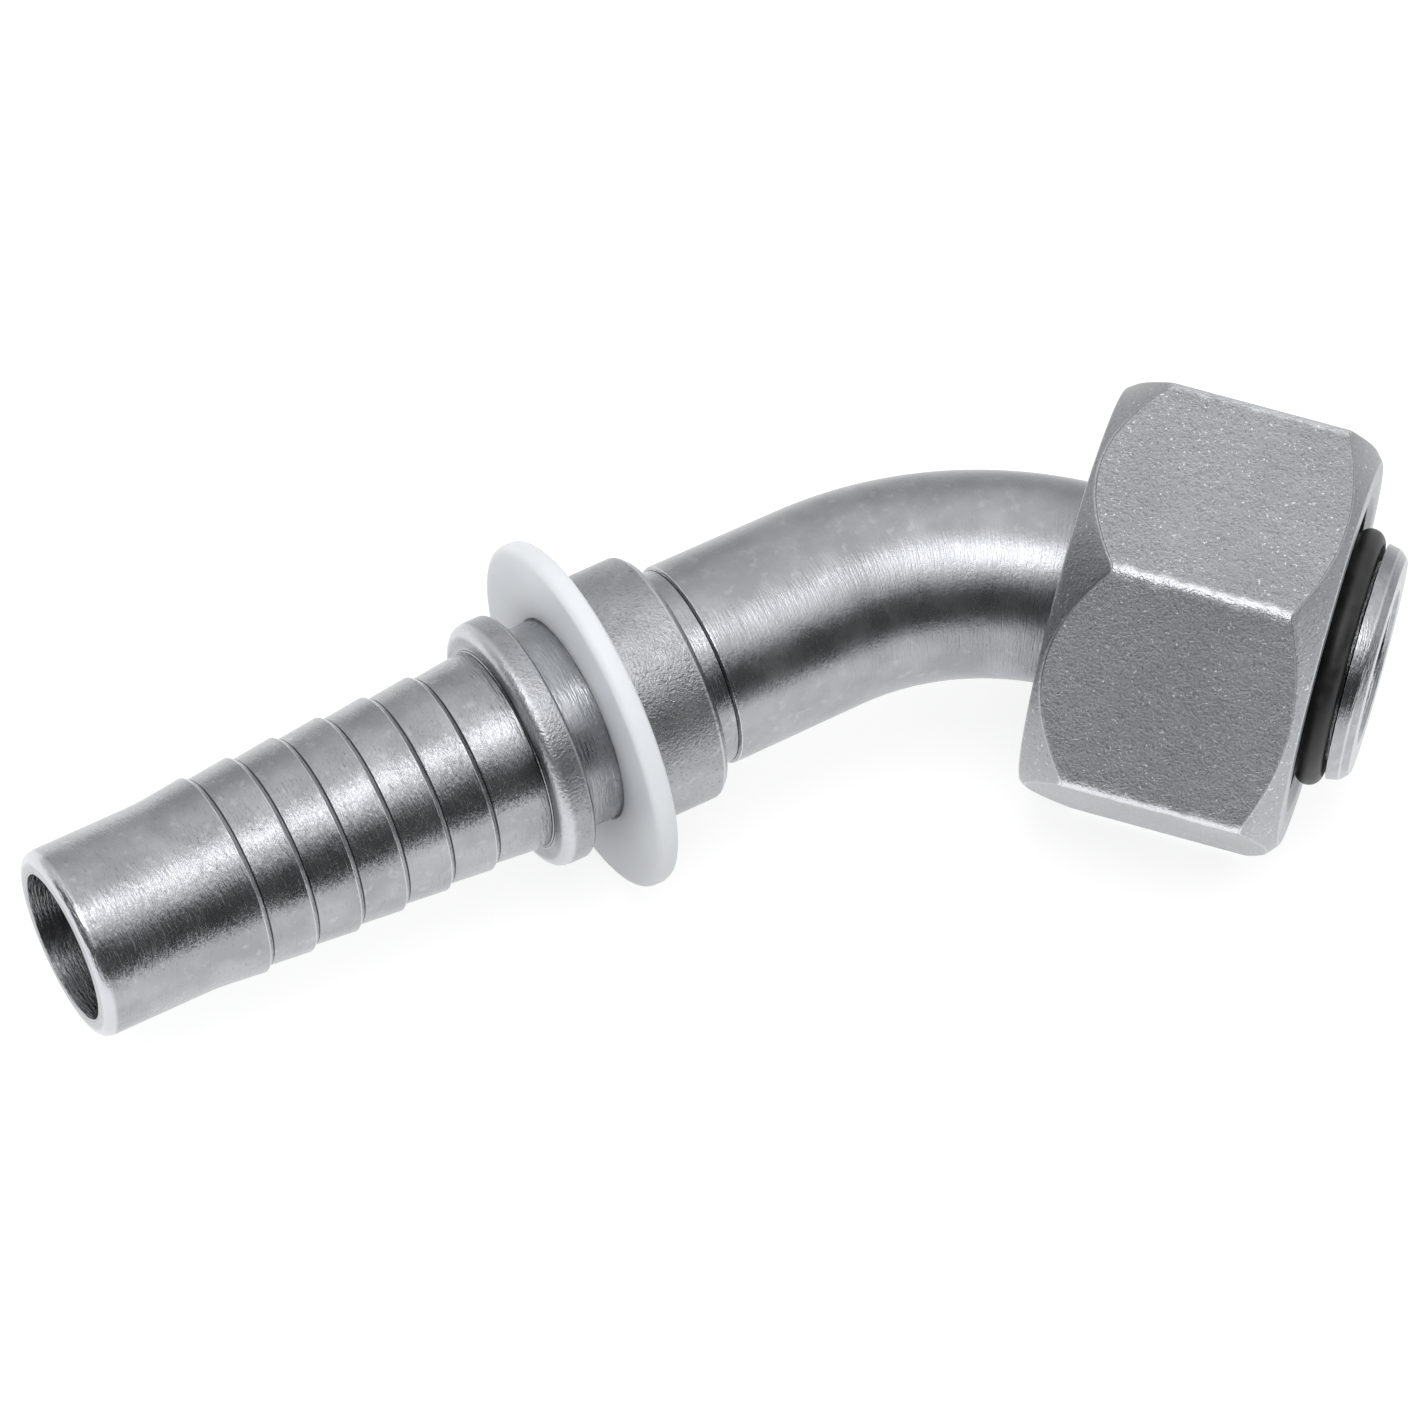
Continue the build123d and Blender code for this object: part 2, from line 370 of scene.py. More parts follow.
@dataclass
class HoseStem:
    """The bent steel stem: coned nose, swept tube, collars, neck and ribbed tail. Sizes in millimetres.

    The sizes are those of the solid but for some that follow the photo more closely: the outer collar is
    narrower on the tail's side, with a plain land behind it, and the steps at its foot and at the ribs are
    shorter. Stations on the tail are counted from the end of the bend.
    """

    path: StemPath
    tail_length: float
    bore_radius: float = 5.0
    countersink: float = 0.3
    tube_radius: float = 6.7
    nose_radius: float = 7.72
    nose_chamfer: float = 0.55
    cone_half_angle: float = math.radians(12.0)
    head_length: float = 10.2
    head_land: float = 0.8
    groove_start: float = 1.435
    groove_end: float = 3.765
    groove_radius: float = 6.676
    relief_start: float = 9.4
    relief_width: float = 1.7
    relief_radius: float = 6.68
    relief_ramp: float = 0.15
    collar_radius: float = 8.44
    inner_collar_width: float = 5.5
    inner_collar_chamfer: float = 0.4
    neck_radius: float = 6.9
    neck_length: float = 4.2
    outer_collar_width: float = 2.25
    outer_collar_chamfer: float = 0.2
    outer_collar_round: float = 0.9
    collar_foot: float = 0.12
    collar_land: float = 0.85
    rib_count: int = 6
    rib_pitch: float = 3.24
    rib_crest_radius: float = 6.75
    rib_root_radius: float = 6.46
    rib_step: float = 0.34
    tail_nose_radius: float = 6.4
    tail_lip_round: float = 0.9
    columns: int = 176

    @property
    def neck_start(self) -> float:
        """The neck's start on the tail, which is the inner collar's end."""
        return self.relief_start + self.relief_width + self.inner_collar_width

    @property
    def collars_end(self) -> float:
        """The outer collar's end on the tail."""
        return self.neck_start + self.neck_length + self.outer_collar_width

    def cone_radius(self, station: float) -> float:
        """The cone's radius, which grows by the tangent of its half angle from the nose's chamfer on."""
        return self.nose_radius + (station - self.nose_chamfer) * math.tan(self.cone_half_angle)

    def head_corners(self) -> list[Corner]:
        """Outline the head, from the bore's mouth over the nose face and the cone to the tube.

        Returns:
            The corners up to the tube.
        """
        land_start = self.head_length - self.head_land
        head_radius = self.cone_radius(land_start)
        shoulder = head_radius - self.tube_radius
        return [
            Corner(0.0, self.bore_radius + self.countersink, 0.05),
            Corner(0.0, self.nose_radius - self.nose_chamfer, 0.12),
            Corner(self.nose_chamfer, self.nose_radius, 0.15),
            Corner(self.groove_start, self.cone_radius(self.groove_start), 0.08),
            Corner(self.groove_start, self.groove_radius, 0.15),
            Corner(self.groove_end, self.groove_radius, 0.15),
            Corner(self.groove_end, self.cone_radius(self.groove_end), 0.08),
            Corner(land_start, head_radius, 0.1),
            Corner(self.head_length, head_radius, 0.15, Cut.DRAWN),
            Corner(self.head_length + shoulder, self.tube_radius, 0.8, Cut.DRAWN),
        ]

    def collar_corners(self, tail: float) -> list[Corner]:
        """Outline the relief groove, the two collars with the neck between them, and the plain land.

        Args:
            tail: the station at which the tail begins.

        Returns:
            The corners up to the first rib.
        """
        groove = tail + self.relief_start
        inner = groove + self.relief_width
        neck = tail + self.neck_start
        outer = neck + self.neck_length
        end = tail + self.collars_end
        low, high, crest = self.neck_radius, self.collar_radius, self.rib_crest_radius
        return [
            Corner(groove, low),
            Corner(groove + self.relief_ramp, self.relief_radius),
            Corner(inner, self.relief_radius, 0.12),
            Corner(inner, high - self.inner_collar_chamfer, 0.1, Cut.COLLAR),
            Corner(inner + self.inner_collar_chamfer, high, 0.15, Cut.COLLAR),
            Corner(neck, high, 0.15),
            Corner(neck, low, 0.12, Cut.DRAWN),
            Corner(outer, low, 0.2),
            Corner(outer, high - self.outer_collar_chamfer, 0.08, Cut.COLLAR),
            Corner(outer + self.outer_collar_chamfer, high, 0.1, Cut.COLLAR),
            Corner(end, high, self.outer_collar_round, Cut.COLLAR),
            Corner(end, crest + self.collar_foot),
            Corner(end + self.collar_foot, crest),
            Corner(end + self.collar_land, crest, 0.3),
        ]

    def rib_corners(self, tail: float) -> list[Corner]:
        """Outline the ribs: each ramps down slowly and climbs to the next crest in a short step.

        Args:
            tail: the station at which the tail begins.

        Returns:
            Two corners for each rib, and the corner at which the last one meets the tail's nose.
        """
        ribs = tail + self.collars_end + self.collar_land
        corners = []
        for number in range(self.rib_count):
            crest = ribs + (number + 1) * self.rib_pitch
            corners.append(Corner(crest - self.rib_step, self.rib_root_radius, 0.1))
            corners.append(Corner(crest, self.rib_crest_radius))
        nose = ribs + (self.rib_count + 1) * self.rib_pitch
        return corners + [Corner(nose, self.tail_nose_radius, 0.8)]

    def build(self) -> bpy.types.Object:
        """Make the stem's closed surface, outside and bore in one.

        Returns:
            The mesh object.
        """
        tail = self.path.bend_end
        end = tail + self.tail_length
        bore = [
            Corner(end, self.tail_nose_radius, self.tail_lip_round),
            Corner(end, self.bore_radius, 0.12, Cut.BORED),
            Corner(self.countersink, self.bore_radius, 0.05),
        ]
        corners = self.head_corners() + self.collar_corners(tail) + self.rib_corners(tail) + bore
        return self.path.turned_piece("stem_surface", Outline(corners), self.columns)


@dataclass
class StopRing:
    """The plastic ring on the stem's neck, close to the inner collar. Sizes in millimetres."""

    path: StemPath
    neck_start: float
    play: float = 0.05
    thickness: float = 1.5
    radius: float = 11.96
    bore_radius: float = 7.0
    rim_round: float = 0.62
    bore_round: float = 0.12
    step: float = 0.4
    corner_points: int = 10
    columns: int = 256

    def build(self) -> bpy.types.Object:
        """Make the ring's closed surface, with its rim rounded over.

        Returns:
            The mesh object.
        """
        front = self.path.bend_end + self.neck_start + self.play
        back = front + self.thickness
        corners = [
            Corner(front, self.bore_radius, self.bore_round),
            Corner(front, self.radius, self.rim_round),
            Corner(back, self.radius, self.rim_round),
            Corner(back, self.bore_radius, self.bore_round),
        ]
        outline = Outline(corners, step=self.step, corner_points=self.corner_points)
        return self.path.turned_piece("stop_ring_surface", outline, self.columns)


@dataclass
class SealRing:
    """The rubber ring in the cone's groove. Sizes in millimetres."""

    station: float = 2.6
    seat_radius: float = 6.696
    section_radius: float = 0.94
    columns: int = 256
    section_points: int = 48

    def build(self) -> bpy.types.Object:
        """Make the ring: a circle of the section's radius carried round the nut's axis.

        Returns:
            The mesh object.
        """
        around = np.arange(self.columns) / self.columns * FULL_TURN
        section = np.arange(self.section_points)[:, None] / self.section_points * FULL_TURN
        reach = self.seat_radius + self.section_radius + self.section_radius * np.cos(section)
        along = -self.station + self.section_radius * np.sin(section)
        x = np.broadcast_to(along, (self.section_points, self.columns))
        points = np.stack([x, reach * np.sin(around), reach * np.cos(around)], axis=-1)
        return wrapped_grid("seal_surface", points, {})


@dataclass
class SwivelNut:
    """The loose hexagon nut, with the thread cut into it. Sizes in millimetres, behind the nose face."""

    front: float = 3.2
    length: float = 17.3
    across_flats: float = 27.0
    corner_round: float = 0.8
    front_face_radius: float = 12.8
    front_chamfer_angle: float = math.radians(40.0)
    rear_face_radius: float = 13.2
    rear_chamfer_angle: float = math.radians(55.0)
    thread_crest: float = 10.188
    thread_root: float = 11.0
    thread_pitch: float = 1.5
    thread_length: float = 9.6
    thread_fade: float = 0.4
    thread_flank: float = math.radians(30.0)
    undercut_width: float = 2.0
    undercut_radius: float = 11.25
    lead_in: float = 0.5
    rear_hole: float = 8.8
    rear_edge: float = 0.4
    rub_and_highlight_width: float = 1.5
    rub_and_highlight_depth: float = 0.35
    flat_columns: int = 34
    corner_columns: int = 20
    corner_points: int = 5

    @property
    def flat_reach(self) -> float:
        """The angle from a flat's middle to where the corner's rounding begins."""
        half = self.across_flats / 2
        return math.atan((half - self.corner_round) * math.tan(HEXAGON_TURN / 2) / half)

    @property
    def thread_end(self) -> float:
        """Where the thread ends and the undercut begins, behind the front face."""
        return self.thread_length - self.undercut_width

    def angles(self) -> Array:
        """Space the columns out, closer together over the six rounded corners.

        Returns:
            Angles from straight up.
        """
        reach = self.flat_reach
        over_flat = np.linspace(-reach, reach, self.flat_columns, endpoint=False)
        over_corner = np.linspace(reach, HEXAGON_TURN - reach, self.corner_columns, endpoint=False)
        side = np.concatenate([over_flat, over_corner])
        return np.concatenate([side + HEXAGON_TURN * number for number in range(6)])

    def off_middle(self, angles: Array) -> Array:
        """The angle between each column and the middle of its flat."""
        return np.abs((angles + HEXAGON_TURN / 2) % HEXAGON_TURN - HEXAGON_TURN / 2)

    def hexagon(self, angles: Array) -> Array:
        """Find the distance from the axis to the hexagon's side.

        On a flat it is half the width across flats over the cosine of the angle from the flat's middle. On
        a corner it is the far side of a circle of the corner's rounding that touches both flats.

        Args:
            angles: the columns' angles.

        Returns:
            One distance for each column.
        """
        half = self.across_flats / 2
        off = self.off_middle(angles)
        flat = half / np.cos(off)
        centre = (half - self.corner_round) / math.cos(HEXAGON_TURN / 2)
        beside = HEXAGON_TURN / 2 - off
        inside = np.maximum(self.corner_round**2 - (centre * np.sin(beside)) ** 2, 0.0)
        corner = centre * np.cos(beside) + np.sqrt(inside)
        return np.where(off > self.flat_reach, corner, flat)

    def outline(self, side: Array) -> tuple[Array, Array, list[int]]:
        """Lay out every column's outline, in the plane through the axis at the column's angle.

        It runs over the front face, the front chamfer's cone up to where it meets the hexagon, the flat,
        the rear chamfer and face, the rear hole, the shoulder, the undercut and the threaded hole.

        Args:
            side: distance from the axis to the hexagon's side, by column.

        Returns:
            Corners by columns by two, each corner's rounding, and the divisions that follow each corner.
        """
        front_depth = (side - self.front_face_radius) * math.tan(self.front_chamfer_angle)
        rear_depth = (side - self.rear_face_radius) * math.tan(self.rear_chamfer_angle)
        shoulder = self.thread_length
        table = [
            (0.0, self.thread_crest + self.lead_in, 0.12, 6),
            (0.0, self.front_face_radius, 0.16, 4),
            (front_depth, side, 0.14, 48),
            (self.length - rear_depth, side, 0.2, 4),
            (self.length, self.rear_face_radius, 0.16, 8),
            (self.length, self.rear_hole + self.rear_edge, 0.08, 2),
            (self.length - self.rear_edge, self.rear_hole, 0.08, 6),
            (shoulder + self.thread_crest - self.rear_hole, self.rear_hole, 0.1, 4),
            (shoulder, self.thread_crest, 0.05, 2),
            (shoulder, self.undercut_radius, 0.1, 4),
            (self.thread_end, self.undercut_radius, 0.1, 2),
            (self.thread_end, self.thread_crest, 0.03, 76),
            (self.lead_in, self.thread_crest, 0.05, 3),
        ]
        places, reaches, roundings, counts = zip(*table)
        corners = [
            np.stack([np.broadcast_to(place, side.shape), np.broadcast_to(reach, side.shape)], axis=-1)
            for place, reach in zip(places, reaches)
        ]
        return np.array(corners), np.array(roundings), list(counts)

    def thread_depth(self, along: Array, angles: Array) -> Array:
        """Find the thread's depth: a groove with sloping sides and a flat floor, one pitch to a turn.

        Args:
            along: distances behind the nut's front face, rows by columns.
            angles: the columns' angles.

        Returns:
            Depths in millimetres, fading out at the lead-in and before the undercut.
        """
        depth = self.thread_root - self.thread_crest
        phase = (along / self.thread_pitch - angles[None, :] / FULL_TURN) % 1.0
        groove = (0.5 - np.abs(phase - 0.5)) * self.thread_pitch
        crest_half_width = self.thread_pitch / 8
        rise = np.clip((groove - crest_half_width) / (depth * math.tan(self.thread_flank)), 0.0, 1.0)
        lead_in = np.clip(along / self.lead_in, 0.0, 1.0)
        run_out = np.clip((self.thread_end - along) / self.thread_fade, 0.0, 1.0)
        return depth * rise * lead_in * run_out

    def wear_and_painted_light_marks(self, radius: Array, side: Array, angles: Array) -> dict[str, Array]:
        """Mark the places that the finish treats in their own way.

        Args:
            radius: distances from the axis, rows by columns.
            side: distance from the axis to the hexagon's side, by column.
            angles: the columns' angles.

        Returns:
            "crown" along the rubbed corners, "flat_face" on the flats and "inside" in the hole, each from
            0 to 1.
        """
        outside = (radius > self.front_face_radius + 0.05).astype(float)
        from_corner = (HEXAGON_TURN / 2 - self.off_middle(angles)) * side
        crown = np.clip(1.0 - from_corner / self.rub_and_highlight_width, 0.0, 1.0)
        near_side = np.clip(1.0 - (side - radius) / self.rub_and_highlight_depth, 0.0, 1.0)
        return {
            "crown": crown * outside * near_side,
            "flat_face": outside * (np.abs(radius - side) < 0.02),
            "inside": (radius < self.thread_root + 0.4).astype(float),
        }

    def build(self) -> bpy.types.Object:
        """Make the nut's closed surface.

        Returns:
            The mesh object.
        """
        angles = self.angles()
        side = self.hexagon(angles)
        table, edges = rounded_rows(*self.outline(side), self.corner_points)
        along, radius = table[..., 0], table[..., 1]
        on_crest = np.abs(radius - self.thread_crest) < 0.02
        threaded = on_crest & (along > 0.0) & (along < self.thread_end)
        radius = radius + np.where(threaded, self.thread_depth(along, angles), 0.0)
        points = np.stack(
            [-(self.front + along), -radius * np.sin(angles), radius * np.cos(angles)], axis=-1
        )
        return wrapped_grid("nut_surface", points, {"edge": edges} | self.wear_and_painted_light_marks(radius, side, angles))


class NodeSteps:
    """A node tree, built up one named step at a time."""

    def __init__(self, tree: bpy.types.NodeTree) -> None:
        """Take up a tree."""
        self.tree = tree

    def node(self, kind: str, **settings: object) -> bpy.types.Node:
        """Add a node.

        Args:
            kind: the node's type.
            settings: its properties, by name.

        Returns:
            The new node.
        """
        added = self.tree.nodes.new(kind)
        for key, value in settings.items():
            setattr(added, key, value)
        return added

    def feed(self, target: Socket, value: Value) -> None:
        """Link a socket to the target, or set the target's own value.

        Args:
            target: the input.
            value: the socket to link, or the value to set.
        """
        if isinstance(value, Socket):
            self.tree.links.new(value, target)
        else:
            target.default_value = value

    def math(self, operation: str, first: Value, second: Value) -> Socket:
        """Add one arithmetic step.

        Args:
            operation: the kind of step.
            first: its first value.
            second: its second value.

        Returns:
            The result.
        """
        step = self.node("ShaderNodeMath", operation=operation)
        self.feed(step.inputs[0], first)
        self.feed(step.inputs[1], second)
        return step.outputs[0]

    def times(self, first: Value, second: Value) -> Socket:
        """The product of two values."""
        return self.math("MULTIPLY", first, second)

    def plus(self, first: Value, second: Value) -> Socket:
        """The sum of two values."""
        return self.math("ADD", first, second)

    def minus(self, first: Value, second: Value) -> Socket:
        """The first value less the second."""
        return self.math("SUBTRACT", first, second)

    def between(
        self, value: Socket, low: float, high: float, start: float = 0.0, end: float = 1.0
    ) -> Socket:
        """Map a value from one range to another, smoothly and without leaving it.

        Args:
            value: the value to map.
            low: value that gives the start.
            high: value that gives the end.
            start: result at low.
            end: result at high.

        Returns:
            The mapped value.
        """
        mapped = self.node("ShaderNodeMapRange", interpolation_type="SMOOTHSTEP")
        self.feed(mapped.inputs["Value"], value)
        numbers = {"From Min": low, "From Max": high, "To Min": start, "To Max": end}
        for name, number in numbers.items():
            mapped.inputs[name].default_value = number
        return mapped.outputs["Result"]

    def seen(self) -> Socket:
        """Find the rays that see the background.

        Returns:
            1 for rays that come straight from the camera, mirrored or let through, and otherwise 0.
        """
        path = self.node("ShaderNodeLightPath")
        glossy, through = path.outputs["Is Glossy Ray"], path.outputs["Is Transmission Ray"]
        return self.math("MAXIMUM", path.outputs["Is Camera Ray"], self.math("MAXIMUM", glossy, through))


class Shading(NodeSteps):
    """A material's node tree round one Principled shader. Patterns are measured in millimetres."""

    def __init__(self, name: str) -> None:
        """Start a material.

        Args:
            name: the material's name.
        """
        self.material = bpy.data.materials.new(name)
        self.material.use_nodes = True
        super().__init__(self.material.node_tree)
        self.shader = self.tree.nodes["Principled BSDF"]
        self.output = self.tree.nodes["Material Output"]

    def millimetres(self) -> Socket:
        """Read the piece's own coordinates.

        Returns:
            The coordinates in millimetres.
        """
        scale = self.node("ShaderNodeMapping")
        self.feed(scale.inputs["Vector"], self.node("ShaderNodeTexCoord").outputs["Object"])
        scale.inputs["Scale"].default_value = (1.0 / MILLIMETRE,) * 3
        return scale.outputs["Vector"]

    def noise(self, place: Socket, size: float, detail: float, roughness: float, offset: float) -> Socket:
        """Add noise whose blobs are about the given size.

        Args:
            place: coordinates in millimetres.
            size: size of the blobs in millimetres.
            detail: finer layers on top.
            roughness: strength of the finer layers.
            offset: slice of the noise, so that patterns differ.

        Returns:
            A value around 0.5.
        """
        pattern = self.node("ShaderNodeTexNoise", noise_dimensions="4D")
        self.feed(pattern.inputs["Vector"], place)
        pattern.inputs["W"].default_value = offset
        pattern.inputs["Scale"].default_value = 1.0 / size
        pattern.inputs["Detail"].default_value = detail
        pattern.inputs["Roughness"].default_value = roughness
        return pattern.outputs["Fac"]

    def mark(self, name: str) -> Socket:
        """Read one of the mesh's own marks."""
        return self.node("ShaderNodeAttribute", attribute_name=name).outputs["Fac"]

    def blend(self, share: Value, first: Value, second: Value) -> Socket:
        """Mix two colours.

        Args:
            share: how much of the second colour shows.
            first: colour at 0.
            second: colour at 1.

        Returns:
            The mixed colour.
        """
        mixed = self.node("ShaderNodeMix", data_type="RGBA")
        self.feed(mixed.inputs[0], share)
        self.feed(mixed.inputs[6], first)
        self.feed(mixed.inputs[7], second)
        return mixed.outputs[2]

    def coats(self, base: Value, layers: list[tuple[Socket, Value, Colour]]) -> Value:
        """Lay colours over a base, one after the other.

        Args:
            base: the colour underneath.
            layers: for each one where it lies, how strongly it covers, and its colour.

        Returns:
            The covered colour.
        """
        for mask, share, colour in layers:
            base = self.blend(self.times(mask, share), base, colour)
        return base

    def bump(self, height: Socket, depth: float, below: Socket | None = None) -> Socket:
        """Turn a height into a tilted normal.

        Args:
            height: the height, from 0 to 1.
            depth: what a height of 1 measures, in millimetres.
            below: normal of the relief that this one lies on.

        Returns:
            The normal.
        """
        relief = self.node("ShaderNodeBump")
        relief.inputs["Strength"].default_value = 1.0
        relief.inputs["Distance"].default_value = depth * MILLIMETRE
        self.feed(relief.inputs["Height"], height)
        if below is not None:
            self.feed(relief.inputs["Normal"], below)
        return relief.outputs["Normal"]

    def put(self, **values: Value) -> bpy.types.Material:
        """Set the shader's sockets.

        Args:
            values: values by the socket's name, with underscores for spaces.

        Returns:
            The material.
        """
        for name, value in values.items():
            self.feed(self.shader.inputs[name.replace("_", " ")], value)
        return self.material

    def show(self, shader: bpy.types.Node, result: str) -> bpy.types.Material:
        """Make another shader the material's surface, and return the material."""
        self.feed(self.output.inputs["Surface"], shader.outputs[result])
        return self.material


def grey(level: float, tint: Tint = (1.0, 1.0, 1.0)) -> Colour:
    """A grey with a slight tint, as a colour with full alpha."""
    return (level * tint[0], level * tint[1], level * tint[2], 1.0)


@dataclass(frozen=True)
class StemFinish:
    """Zinc plating over turned and drawn steel.

    Attributes:
        tone: how light the plating is.
        tint: its slight colour.
        blotch_tone: how light its pale blotches are.
        rim_highlight_tone: the same for worn outside corners, which also carry a painted highlight.
        crease_shade_tone: the same for the painted shade in inside corners.
        bore_shade_tone: the same for the painted shade in the bore.
        roughness: how rough the smoothest stretches are.
    """

    tone: float = 0.42
    tint: Tint = ZINC_TINT
    blotch_tone: float = 0.66
    rim_highlight_tone: float = 0.8
    crease_shade_tone: float = 0.03
    bore_shade_tone: float = 0.1
    roughness: float = 0.19

    def unrolled(self, shading: Shading, along: float, around: float) -> Socket:
        """Make coordinates that follow the stem round its bend, from its station, side and rise.

        Args:
            shading: the material's tree.
            along: size of the streaks along the stem, in millimetres.
            around: the same round it.

        Returns:
            The coordinates, in sizes of a streak.
        """
        joined = shading.node("ShaderNodeCombineXYZ")
        for axis, (name, size) in enumerate((("station", along), ("side", around), ("rise", around))):
            shading.feed(joined.inputs[axis], shading.times(shading.mark(name), 1.0 / size))
        return joined.outputs["Vector"]

    def patterns(self, shading: Shading) -> dict[str, Socket]:
        """Make the patterns that the colour, the gloss and the relief share.

        Args:
            shading: the material's tree.

        Returns:
            The mesh's marks and the noises, by name.
        """
        place = shading.millimetres()
        marks = {name: shading.mark(name) for name in ["edge"] + [cut.value for cut in Cut]}
        return marks | {
            "streaks": shading.noise(self.unrolled(shading, 0.15, 1.0), 1.0, 3.0, 0.65, 3.0),
            "rings": shading.noise(self.unrolled(shading, 0.4, 9.0), 1.0, 2.0, 0.6, 5.0),
            "grain": shading.noise(place, 0.2, 3.0, 0.65, 1.0),
            "cloud": shading.noise(place, 3.5, 3.0, 0.55, 7.0),
            "blotch": shading.noise(place, 0.9, 2.0, 0.6, 17.0),
        }

    def colour(self, shading: Shading, pattern: dict[str, Socket]) -> Value:
        """Stain the plating with blotches, dark grains and scratches, painted highlights on worn rims and
        painted shade in corners.

        Args:
            shading: the material's tree.
            pattern: the shared patterns.

        Returns:
            The base colour.
        """
        stain = shading.between(pattern["cloud"], 0.35, 0.7)
        light, dark = grey(self.tone * 1.1, self.tint), grey(self.tone * 0.86, self.tint)
        grains = shading.between(pattern["grain"], 0.52, 0.68)
        scratches = shading.times(shading.between(pattern["streaks"], 0.58, 0.72), 0.4)
        layers = [
            (shading.between(pattern["blotch"], 0.56, 0.72), 0.3, grey(self.blotch_tone, self.tint)),
            (shading.times(grains, shading.plus(pattern["collar"], 0.15)), 0.5, grey(self.tone * 0.4)),
            (scratches, pattern["turned"], grey(self.tone * 0.45)),
            # Painted highlight along the worn outside corners.
            (shading.between(pattern["edge"], 0.05, 0.7), 0.6, grey(self.rim_highlight_tone, self.tint)),
            # Painted shade in the inside corners.
            (shading.between(pattern["edge"], -0.08, -0.5), 0.95, grey(self.crease_shade_tone)),
            # Painted shade in the bore.
            (pattern["bored"], 0.3, grey(self.bore_shade_tone)),
        ]
        return shading.coats(shading.blend(stain, dark, light), layers)

    def gloss(self, shading: Shading, pattern: dict[str, Socket]) -> Socket:
        """Roughen the plating on the collars, on drawn stretches and in its stains.

        Args:
            shading: the material's tree.
            pattern: the shared patterns.

        Returns:
            The roughness.
        """
        rough = shading.plus(shading.times(pattern["collar"], 0.08), self.roughness)
        rough = shading.plus(rough, shading.times(pattern["drawn"], 0.06))
        return shading.plus(rough, shading.times(shading.between(pattern["cloud"], 0.3, 0.75), 0.07))

    def relief(self, shading: Shading, pattern: dict[str, Socket]) -> Socket:
        """Cut fine streaks round the stem, deepest in the bore, and cover it with grain.

        Args:
            shading: the material's tree.
            pattern: the shared patterns.

        Returns:
            The normal.
        """
        share = shading.plus(pattern["turned"], shading.times(pattern["drawn"], 0.45))
        share = shading.plus(share, shading.times(pattern["bored"], 1.4))
        cuts = shading.plus(pattern["streaks"], shading.times(pattern["rings"], 0.5))
        streaked = shading.bump(shading.times(cuts, share), 0.07)
        grain = shading.times(pattern["grain"], shading.plus(pattern["collar"], 0.22))
        return shading.bump(grain, 0.06, streaked)

    def build(self) -> bpy.types.Material:
        """Make the material.

        Returns:
            The finish, which needs the stem's marks.
        """
        shading = Shading("plated_stem")
        pattern = self.patterns(shading)
        base = self.colour(shading, pattern)
        rough = self.gloss(shading, pattern)
        relief = self.relief(shading, pattern)
        return shading.put(Base_Color=base, Metallic=1.0, Roughness=rough, Normal=relief)


@dataclass(frozen=True)
class NutFinish:
    """Grainy zinc plating on the forged nut, rubbed along its corners, with painted glints, highlights and
    shade.

    Attributes:
        tone: how light the plating is.
        tint: its slight colour.
        grain: size of the grains, in millimetres.
        rubbed_highlight_tone: how light the rubbed corners are, with their painted highlight.
        rim_highlight_tone: the same for worn edges, which also carry a painted highlight.
        hole_shade_tone: the same for the painted shade in the hole.
        roughness: how rough the flats are.
    """

    tone: float = 0.43
    tint: Tint = ZINC_TINT
    grain: float = 0.2
    rubbed_highlight_tone: float = 0.92
    rim_highlight_tone: float = 0.8
    hole_shade_tone: float = 0.15
    roughness: float = 0.36

    def build(self) -> bpy.types.Material:
        """Make the material: dark grains, painted glints and highlights, ragged rubbed corners, smoother
        turned faces.

        Returns:
            The finish, which needs the nut's marks.
        """
        shading = Shading("plated_nut")
        place = shading.millimetres()
        grain = shading.noise(place, self.grain, 3.0, 0.65, 2.0)
        coarse = shading.noise(place, self.grain * 4, 2.0, 0.5, 5.0)
        cloud = shading.between(shading.noise(place, 6.0, 2.0, 0.5, 9.0), 0.3, 0.7)
        # Near-white specks painted in as glints.
        painted_glints = shading.between(shading.noise(place, self.grain, 2.0, 0.5, 13.0), 0.63, 0.7)
        # A ragged band along the corners: rubbed smoother, and painted light as a highlight.
        ragged = shading.plus(shading.mark("crown"), shading.times(shading.minus(coarse, 0.5), 0.6))
        rubbed = shading.between(ragged, 0.55, 0.95)
        light, dark = grey(self.tone * 1.06, self.tint), grey(self.tone * 0.93, self.tint)
        layers = [
            (shading.between(grain, 0.53, 0.66), 0.5, grey(self.tone * 0.35)),
            # Painted glints.
            (painted_glints, 0.8, grey(0.95)),
            # Painted highlight on the rubbed corners.
            (rubbed, 0.8, grey(self.rubbed_highlight_tone, self.tint)),
            # Painted highlight along the worn edges.
            (shading.between(shading.mark("edge"), 0.05, 0.5), 0.3, grey(self.rim_highlight_tone, self.tint)),
            # Painted shade in the hole.
            (shading.mark("inside"), 0.35, grey(self.hole_shade_tone)),
        ]
        base = shading.coats(shading.blend(cloud, dark, light), layers)
        smooth = shading.minus(1.0, shading.times(shading.mark("flat_face"), 0.75))
        rough = shading.minus(self.roughness, shading.times(rubbed, 0.12))
        rough = shading.minus(rough, shading.times(smooth, 0.04))
        share = shading.minus(1.0, shading.times(smooth, 0.7))
        relief = shading.bump(shading.times(coarse, share), 0.1)
        relief = shading.bump(shading.times(grain, share), 0.14, relief)
        return shading.put(Base_Color=base, Metallic=1.0, Roughness=rough, Normal=relief)


